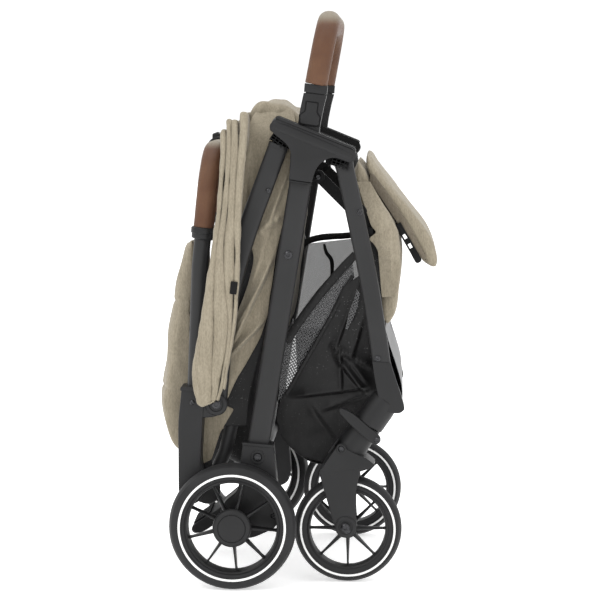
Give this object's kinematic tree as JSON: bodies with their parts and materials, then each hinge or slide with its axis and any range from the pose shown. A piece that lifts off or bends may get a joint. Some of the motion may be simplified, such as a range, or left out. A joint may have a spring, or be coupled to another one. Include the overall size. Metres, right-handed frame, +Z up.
{
  "type": "baby stroller",
  "caption": "Compact three-part folding pushchair, folded and standing on spoked foam wheels, with sand fabric, a folded canopy, a shopping basket and brown leather-look grips.",
  "frame": {"origin": "on the floor, under the middle of the folded stroller's bounding box", "axes": "+X forward, the way it is pushed when open; +Y to the child's left; +Z up. It stands folded on its four wheels"},
  "size_m": [0.3999, 0.473, 0.7915],
  "materials": {
    "frame_paint": "satin powder coat, charcoal",
    "moulding": "fine spark-eroded texture, charcoal",
    "tyre_foam": "matt foam rubber",
    "pin_steel": "blackened steel",
    "grip_leather": "stitched leather-look, fine grain",
    "canopy_fabric": "melange plain weave, sand",
    "basket_fabric": "black woven polyester and mesh",
    "footrest_plastic": "smooth dark grey"
  },
  "bodies": {
    "chassis": {"hub_cover_right": "moulding", "hub_cover_left": "moulding", "hub_inners": "moulding", "rear_leg_right": "frame_paint", "rear_leg_left": "frame_paint", "axle_housings": "moulding", "rear_cross_tube": "frame_paint", "rear_axle": "pin_steel", "frame_pins": "pin_steel", "basket": "basket_fabric", "seat_back": "canopy_fabric"},
    "push_frame": {"push_tube_right": "frame_paint", "push_tube_left": "frame_paint", "push_crossbar": "frame_paint"},
    "handle": {"handle_bar": "frame_paint", "handle_grip": "grip_leather", "handle_knuckle_right": "moulding", "handle_knuckle_left": "moulding", "handle_collars": "moulding", "fold_button_housing": "moulding", "knuckle_pins": "pin_steel", "canopy_rear": "canopy_fabric", "back_curtain": "canopy_fabric"},
    "fold_button": {"fold_button": "moulding"},
    "fold_links": {"fold_link_right": "frame_paint", "fold_link_left": "frame_paint"},
    "canopy_front": {"canopy_front": "canopy_fabric"},
    "front_frame": {"front_leg_right": "frame_paint", "front_leg_left": "frame_paint", "leg_ends": "moulding", "footrest": "footrest_plastic", "front_cross_tube": "frame_paint", "leg_pins": "pin_steel"},
    "seat_base": {"seat_base": "canopy_fabric", "seat_brackets": "frame_paint"},
    "seat_links": {"seat_links": "frame_paint"},
    "leg_rest": {"leg_rest": "canopy_fabric", "leg_rest_strips": "moulding"},
    "bumper_bar": {"bumper_bar": "frame_paint", "bumper_grip": "grip_leather", "bumper_arms": "moulding"},
    "brake_pedal": {"brake_pedal": "moulding"},
    "swivel_right": {"fork_right": "moulding", "front_axle_right": "pin_steel"},
    "swivel_lever_right": {"swivel_lever_right": "moulding"},
    "front_wheel_right": {"front_tyre_right": "tyre_foam", "front_rim_right": "moulding"},
    "rear_wheel_right": {"rear_tyre_right": "tyre_foam", "rear_rim_right": "moulding", "rear_cap_right": "moulding"},
    "bumper_button_right": {"bumper_button_right": "moulding"},
    "swivel_left": {"fork_left": "moulding", "front_axle_left": "pin_steel"},
    "swivel_lever_left": {"swivel_lever_left": "moulding"},
    "front_wheel_left": {"front_tyre_left": "tyre_foam", "front_rim_left": "moulding"},
    "rear_wheel_left": {"rear_tyre_left": "tyre_foam", "rear_rim_left": "moulding", "rear_cap_left": "moulding"},
    "bumper_button_left": {"bumper_button_left": "moulding"}
  },
  "joints": [
    {"name": "push_fold", "type": "hinge", "parent": "chassis", "child": "push_frame", "pos_m": [-0.017, 0, 0.615], "axis": [0, 1, 0], "range_deg": [0, 100]},
    {"name": "front_leg_fold", "type": "hinge", "parent": "chassis", "child": "front_frame", "pos_m": [0.069, 0, 0.585], "axis": [0, -1, 0], "range_deg": [0, 59]},
    {"name": "handle_fold", "type": "hinge", "parent": "push_frame", "child": "handle", "pos_m": [-0.106, 0, 0.252], "axis": [0, -1, 0], "range_deg": [0, 171]},
    {"name": "fold_link_swing", "type": "hinge", "parent": "chassis", "child": "fold_links", "pos_m": [-0.007, 0, 0.458], "axis": [0, 1, 0], "range_deg": [0, 117]},
    {"name": "seat_fold", "type": "hinge", "parent": "front_frame", "child": "seat_base", "pos_m": [0.091, 0, 0.517], "axis": [0, 1, 0], "range_deg": [0, 109]},
    {"name": "seat_link_swing", "type": "hinge", "parent": "chassis", "child": "seat_links", "pos_m": [0.033, 0, 0.564], "axis": [0, -1, 0], "range_deg": [0, 31]},
    {"name": "canopy_open", "type": "hinge", "parent": "handle", "child": "canopy_front", "pos_m": [-0.106, 0, 0.252], "axis": [0, 1, 0], "range_deg": [0, 96]},
    {"name": "leg_rest_tilt", "type": "hinge", "parent": "seat_base", "child": "leg_rest", "pos_m": [0.096, 0, 0.588], "axis": [0, -1, 0], "range_deg": [0, 35]},
    {"name": "bumper_tilt", "type": "hinge", "parent": "chassis", "child": "bumper_bar", "pos_m": [0.022, 0, 0.621], "axis": [0, 1, 0], "range_deg": [0, 60]},
    {"name": "fold_button_press", "type": "slide", "parent": "handle", "child": "fold_button", "axis": [0, 0, -1], "range_m": [0, 0.003], "stiffness_N_per_m": 800, "springref_m": -0.002},
    {"name": "brake_press", "type": "hinge", "parent": "chassis", "child": "brake_pedal", "pos_m": [-0.082, 0, 0.0875], "axis": [0, -1, 0], "range_deg": [0, 15]},
    {"name": "swivel_right", "type": "hinge", "parent": "front_frame", "child": "swivel_right", "pos_m": [0.1035, -0.158, 0.2225], "axis": [0.5693, 0, 0.8221], "range_deg": [-40, 40]},
    {"name": "swivel_lock_right", "type": "hinge", "parent": "swivel_right", "child": "swivel_lever_right", "pos_m": [0.11125, -0.178, 0.20558], "axis": [0, -1, 0], "range_deg": [0, 8]},
    {"name": "front_wheel_spin_right", "type": "hinge", "parent": "swivel_right", "child": "front_wheel_right", "pos_m": [0.075, -0.158, 0.075], "axis": [0, 1, 0], "continuous": true},
    {"name": "rear_wheel_spin_right", "type": "hinge", "parent": "chassis", "child": "rear_wheel_right", "pos_m": [-0.082, -0.215, 0.0875], "axis": [0, 1, 0], "continuous": true},
    {"name": "bumper_button_right", "type": "slide", "parent": "bumper_bar", "child": "bumper_button_right", "axis": [0, 1, 0], "range_m": [0, 0.003], "stiffness_N_per_m": 600, "springref_m": -0.002},
    {"name": "swivel_left", "type": "hinge", "parent": "front_frame", "child": "swivel_left", "pos_m": [0.1035, 0.158, 0.2225], "axis": [0.5693, 0, 0.8221], "range_deg": [-40, 40]},
    {"name": "swivel_lock_left", "type": "hinge", "parent": "swivel_left", "child": "swivel_lever_left", "pos_m": [0.11125, 0.178, 0.20558], "axis": [0, -1, 0], "range_deg": [0, 8]},
    {"name": "front_wheel_spin_left", "type": "hinge", "parent": "swivel_left", "child": "front_wheel_left", "pos_m": [0.075, 0.158, 0.075], "axis": [0, 1, 0], "continuous": true},
    {"name": "rear_wheel_spin_left", "type": "hinge", "parent": "chassis", "child": "rear_wheel_left", "pos_m": [-0.082, 0.215, 0.0875], "axis": [0, 1, 0], "continuous": true},
    {"name": "bumper_button_left", "type": "slide", "parent": "bumper_bar", "child": "bumper_button_left", "axis": [0, -1, 0], "range_m": [0, 0.003], "stiffness_N_per_m": 600, "springref_m": -0.002}
  ],
  "couplings": [
    {"joint": "front_leg_fold", "follows": "push_fold", "ratio": 0.58},
    {"joint": "handle_fold", "follows": "push_fold", "ratio": 1.7},
    {"joint": "fold_link_swing", "follows": "push_fold", "ratio": 1.163},
    {"joint": "seat_fold", "follows": "push_fold", "ratio": 1.08},
    {"joint": "seat_link_swing", "follows": "push_fold", "ratio": 0.3},
    {"joint": "canopy_open", "follows": "push_fold", "ratio": 0.95}
  ]
}
